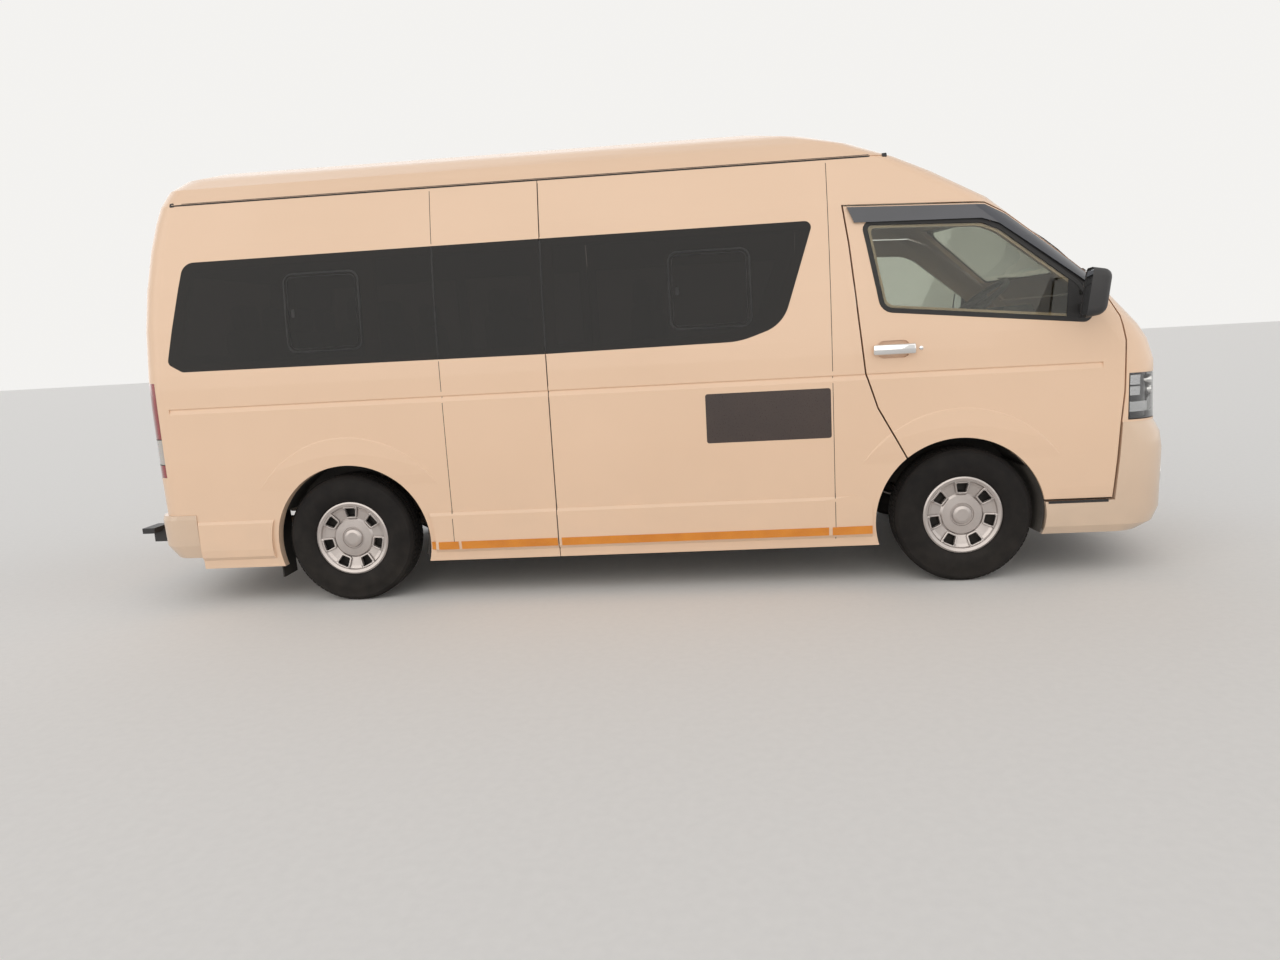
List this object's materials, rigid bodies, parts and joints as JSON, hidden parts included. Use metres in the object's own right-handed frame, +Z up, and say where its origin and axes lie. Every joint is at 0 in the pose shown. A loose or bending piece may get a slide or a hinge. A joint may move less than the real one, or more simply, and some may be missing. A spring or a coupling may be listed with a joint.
{
  "type": "high-roof minibus",
  "caption": "High-roof passenger minibus with opening front doors, tailgate and bonnet, steered front wheels and free rolling wheels.",
  "frame": {"origin": "centre of the bounding box on the ground", "axes": "+X forward, +Y to the vehicle's left, +Z up"},
  "size_m": [5.545, 2.33, 2.285],
  "materials": {
    "paint": "gloss white paint",
    "clear_glass": "lightly tinted",
    "dark_glass": "dark tinted",
    "lamp_clear": "clear lens over bright reflector",
    "lamp_red": "red and clear lens",
    "black_plastic": "satin black",
    "grille_trim": "silver bars",
    "visor_smoke": "smoked dark blue grey",
    "underbody": "dark grey underseal",
    "dash_grey": "grey trim",
    "seat_cloth": "grey cloth",
    "engine_iron": "cast surface",
    "steel_dark": "dark steel",
    "tyre_rubber": "matt black",
    "wheel_silver": "silver",
    "flap_rubber": "matt"
  },
  "bodies": {
    "body": {"roof_panel": "paint", "front_panel": "paint", "windscreen": "clear_glass", "side_right_front": "paint", "side_right_rear": "paint", "side_left_front": "paint", "sliding_door": "paint", "side_left_rear": "paint", "side_windows": "dark_glass", "headlamps": "lamp_clear", "tail_lamps": "lamp_red", "grille": "grille_trim", "front_bumper": "paint", "rear_bumper": "paint", "floor_pan": "underbody", "dashboard": "dash_grey", "front_seats": "seat_cloth", "passenger_seats": "seat_cloth", "engine": "engine_iron", "exhaust_and_tank": "steel_dark", "rear_axle": "steel_dark", "front_suspension": "steel_dark", "wheelhouses": "underbody", "engine_cover": "dash_grey", "wipers": "black_plastic", "mud_flaps": "flap_rubber", "tow_bar": "black_plastic"},
    "door_right": {"door_right": "paint", "door_window_right": "clear_glass", "visor_right": "visor_smoke", "mirror_right": "black_plastic"},
    "door_left": {"door_left": "paint", "door_window_left": "clear_glass", "visor_left": "visor_smoke", "mirror_left": "black_plastic"},
    "tailgate": {"tailgate": "paint", "tailgate_window": "dark_glass"},
    "bonnet": {"bonnet": "paint"},
    "steering_wheel": {"steering_wheel": "black_plastic"},
    "knuckle_right": {"knuckle_right": "steel_dark"},
    "knuckle_left": {"knuckle_left": "steel_dark"},
    "wheel_front_right": {"tyre_front_right": "tyre_rubber", "wheel_front_right": "wheel_silver"},
    "wheel_front_left": {"tyre_front_left": "tyre_rubber", "wheel_front_left": "wheel_silver"},
    "wheel_rear_right": {"tyre_rear_right": "tyre_rubber", "wheel_rear_right": "wheel_silver"},
    "wheel_rear_left": {"tyre_rear_left": "tyre_rubber", "wheel_rear_left": "wheel_silver"}
  },
  "joints": [
    {"name": "door_right_swing", "type": "hinge", "parent": "body", "child": "door_right", "pos_m": [2.3275, -0.915, 0.9], "axis": [0, 0, 1], "range_deg": [0, 65]},
    {"name": "door_left_swing", "type": "hinge", "parent": "body", "child": "door_left", "pos_m": [2.3275, 0.915, 0.9], "axis": [0, 0, -1], "range_deg": [0, 65]},
    {"name": "tailgate_lift", "type": "hinge", "parent": "body", "child": "tailgate", "pos_m": [-2.449, 0, 2.074], "axis": [0, 1, 0], "range_deg": [0, 85]},
    {"name": "bonnet_lift", "type": "hinge", "parent": "body", "child": "bonnet", "pos_m": [2.29621, 0, 1.44], "axis": [0, -1, 0], "range_deg": [0, 50]},
    {"name": "steer_right", "type": "hinge", "parent": "body", "child": "knuckle_right", "pos_m": [1.6275, -0.755, 0.335], "axis": [0, 0, 1], "range_deg": [-35, 35]},
    {"name": "steer_left", "type": "hinge", "parent": "body", "child": "knuckle_left", "pos_m": [1.6275, 0.755, 0.335], "axis": [0, 0, 1], "range_deg": [-35, 35]},
    {"name": "steering_wheel_turn", "type": "hinge", "parent": "body", "child": "steering_wheel", "pos_m": [1.8355, -0.4, 1.368], "axis": [-0.5878, 0, 0.809], "range_deg": [-560, 560]},
    {"name": "spin_front_right", "type": "hinge", "parent": "knuckle_right", "child": "wheel_front_right", "pos_m": [1.6275, -0.8275, 0.335], "axis": [0, 1, 0], "continuous": true},
    {"name": "spin_front_left", "type": "hinge", "parent": "knuckle_left", "child": "wheel_front_left", "pos_m": [1.6275, 0.8275, 0.335], "axis": [0, 1, 0], "continuous": true},
    {"name": "spin_rear_right", "type": "hinge", "parent": "body", "child": "wheel_rear_right", "pos_m": [-1.4825, -0.825, 0.335], "axis": [0, 1, 0], "continuous": true},
    {"name": "spin_rear_left", "type": "hinge", "parent": "body", "child": "wheel_rear_left", "pos_m": [-1.4825, 0.825, 0.335], "axis": [0, 1, 0], "continuous": true}
  ],
  "couplings": [
    {"joint": "steer_left", "follows": "steer_right", "ratio": 1},
    {"joint": "steering_wheel_turn", "follows": "steer_right", "ratio": 16}
  ]
}
